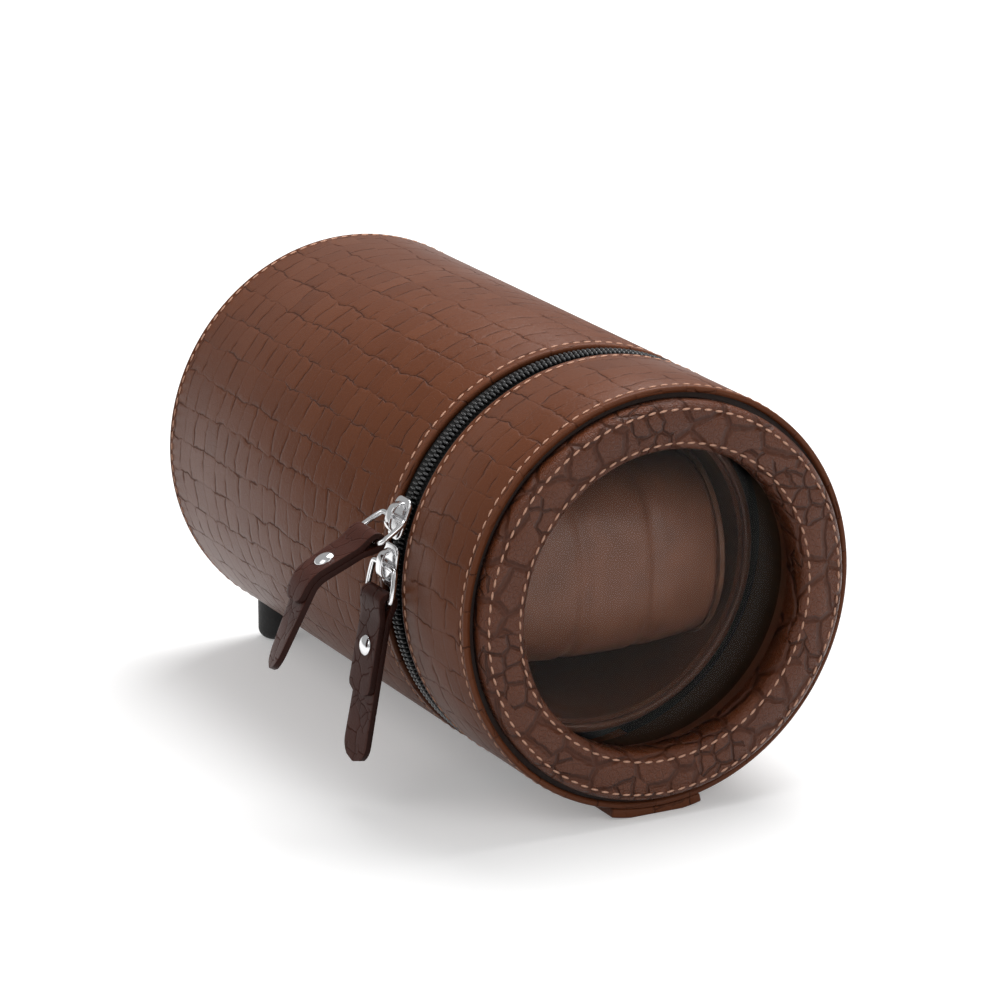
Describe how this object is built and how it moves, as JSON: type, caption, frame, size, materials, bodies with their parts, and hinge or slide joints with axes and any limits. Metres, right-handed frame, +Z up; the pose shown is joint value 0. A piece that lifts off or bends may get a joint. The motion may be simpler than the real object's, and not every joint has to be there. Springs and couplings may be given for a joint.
{
  "type": "watch winder",
  "caption": "Cylindrical leather-covered winder case lying on its side, with a zipped window lid, a belt-driven rotor and a slide-out watch cushion.",
  "frame": {"origin": "on the table, under the middle of the flat on which the case half of the hinge strap rests", "axes": "+Z up, +Y to the rear along the case's axis, the window faces -Y, +X to the right seen from the front; the zip pulls hang on the -X side"},
  "size_m": [0.1444, 0.1815, 0.112],
  "materials": {
    "body_leather": "croc-embossed, semi-gloss",
    "lid_leather": "croc-embossed, semi-gloss",
    "ring_leather": "deeply croc-embossed, glossy",
    "strap_leather": "smooth, semi-gloss",
    "pull_leather": "croc-embossed, semi-gloss",
    "cushion_leather": "soft, matt",
    "shell": "moulded, matt",
    "board": "pressed board",
    "lining": "short pile",
    "door": "fine texture",
    "tray": "moulded",
    "cell": "plain jacket",
    "contact": "nickel plated",
    "rubber": "matt",
    "plate": "powder coated",
    "bush": "sintered",
    "steel": "ground",
    "pulley": "moulded nylon",
    "belt": "matt",
    "circuit": "solder mask",
    "chip": "moulded",
    "cup": "moulded",
    "cap": "smooth",
    "pane": "clear, polished",
    "tape": "woven",
    "coil": "moulded nylon",
    "chrome": "polished",
    "switch": "moulded"
  },
  "bodies": {
    "case": {"body_shell": "shell", "body_leather": "body_leather", "body_lining": "lining", "rear_leather": "body_leather", "rear_board": "board", "battery_tray": "tray", "battery_cell_left": "cell", "battery_cell_right": "cell", "tray_contact": "contact", "mode_switch": "switch", "foot_left": "rubber", "foot_right": "rubber", "drive_plate": "plate", "bulkhead": "plate", "frame_posts": "steel", "frame_screws": "steel", "rear_bush": "bush", "front_bush": "bush", "motor_can": "steel", "gearbox": "shell", "drive_belt": "belt", "control_board": "circuit", "board_pins": "pulley", "board_chips": "chip", "zip_tape_body": "tape", "zip_coil_body": "coil", "hinge_strap_body": "strap_leather"},
    "lid": {"lid_shell": "shell", "lid_leather": "lid_leather", "lid_lining": "lining", "lid_board": "board", "window_pane": "pane", "pane_retainer": "cup", "front_ring": "ring_leather", "zip_tape_lid": "tape", "zip_coil_lid": "coil", "hinge_strap_lid": "strap_leather"},
    "rotor": {"rotor_shaft": "steel", "rotor_hub": "cup", "rotor_cup": "cup", "cup_lining": "lining", "cheek_left": "cup", "cheek_right": "cup", "rotor_pulley": "pulley"},
    "motor_drive": {"motor_pulley": "pulley"},
    "cushion": {"cushion_pad": "cushion_leather", "cushion_cap_left": "cap", "cushion_cap_right": "cap"},
    "battery_door": {"battery_door": "door", "door_contact": "contact"},
    "mode_lever": {"mode_lever": "switch"},
    "upper_slider": {"upper_slider": "chrome"},
    "upper_ring": {"upper_ring": "chrome"},
    "upper_pull": {"upper_pull": "pull_leather", "upper_rivet": "chrome"},
    "lower_slider": {"lower_slider": "chrome"},
    "lower_ring": {"lower_ring": "chrome"},
    "lower_pull": {"lower_pull": "pull_leather", "lower_rivet": "chrome"}
  },
  "joints": [
    {"name": "lid_hinge", "type": "hinge", "parent": "case", "child": "lid", "pos_m": [0, -0.01095, 0.0012], "axis": [1, 0, 0], "range_deg": [0, 110]},
    {"name": "rotor_spin", "type": "hinge", "parent": "case", "child": "rotor", "pos_m": [0, -0.01095, 0.057], "axis": [0, 1, 0], "continuous": true},
    {"name": "motor_spin", "type": "hinge", "parent": "case", "child": "motor_drive", "pos_m": [0, 0.05055, 0.088], "axis": [0, 1, 0], "continuous": true},
    {"name": "cushion_slide", "type": "slide", "parent": "rotor", "child": "cushion", "axis": [0, -1, 0], "range_m": [0, 0.012]},
    {"name": "door_lift", "type": "slide", "parent": "case", "child": "battery_door", "axis": [0, 1, 0], "range_m": [0, 0.012]},
    {"name": "mode_slide", "type": "slide", "parent": "case", "child": "mode_lever", "axis": [1, 0, 0], "range_m": [-0.003, 0.003]},
    {"name": "upper_slider_run", "type": "hinge", "parent": "case", "child": "upper_slider", "pos_m": [0, -0.01095, 0.057], "axis": [0, -1, 0], "range_deg": [-225, 0]},
    {"name": "upper_ring_swing", "type": "hinge", "parent": "upper_slider", "child": "upper_ring", "pos_m": [-0.05427, -0.01095, 0.07569], "axis": [0, 1, 0], "range_deg": [-3, 95]},
    {"name": "upper_pull_swing", "type": "hinge", "parent": "upper_ring", "child": "upper_pull", "pos_m": [-0.06172, -0.01095, 0.07139], "axis": [0, 1, 0], "range_deg": [-5, 50]},
    {"name": "lower_slider_run", "type": "hinge", "parent": "case", "child": "lower_slider", "pos_m": [0, -0.01095, 0.057], "axis": [0, 1, 0], "range_deg": [-65, 0]},
    {"name": "lower_ring_swing", "type": "hinge", "parent": "lower_slider", "child": "lower_ring", "pos_m": [-0.05703, -0.01095, 0.0635], "axis": [0, 1, 0], "range_deg": [0, 30]},
    {"name": "lower_pull_swing", "type": "hinge", "parent": "lower_ring", "child": "lower_pull", "pos_m": [-0.05863, -0.01095, 0.05505], "axis": [0, 1, 0], "range_deg": [-5, 30]}
  ],
  "couplings": [
    {"joint": "motor_spin", "follows": "rotor_spin", "ratio": 4}
  ]
}
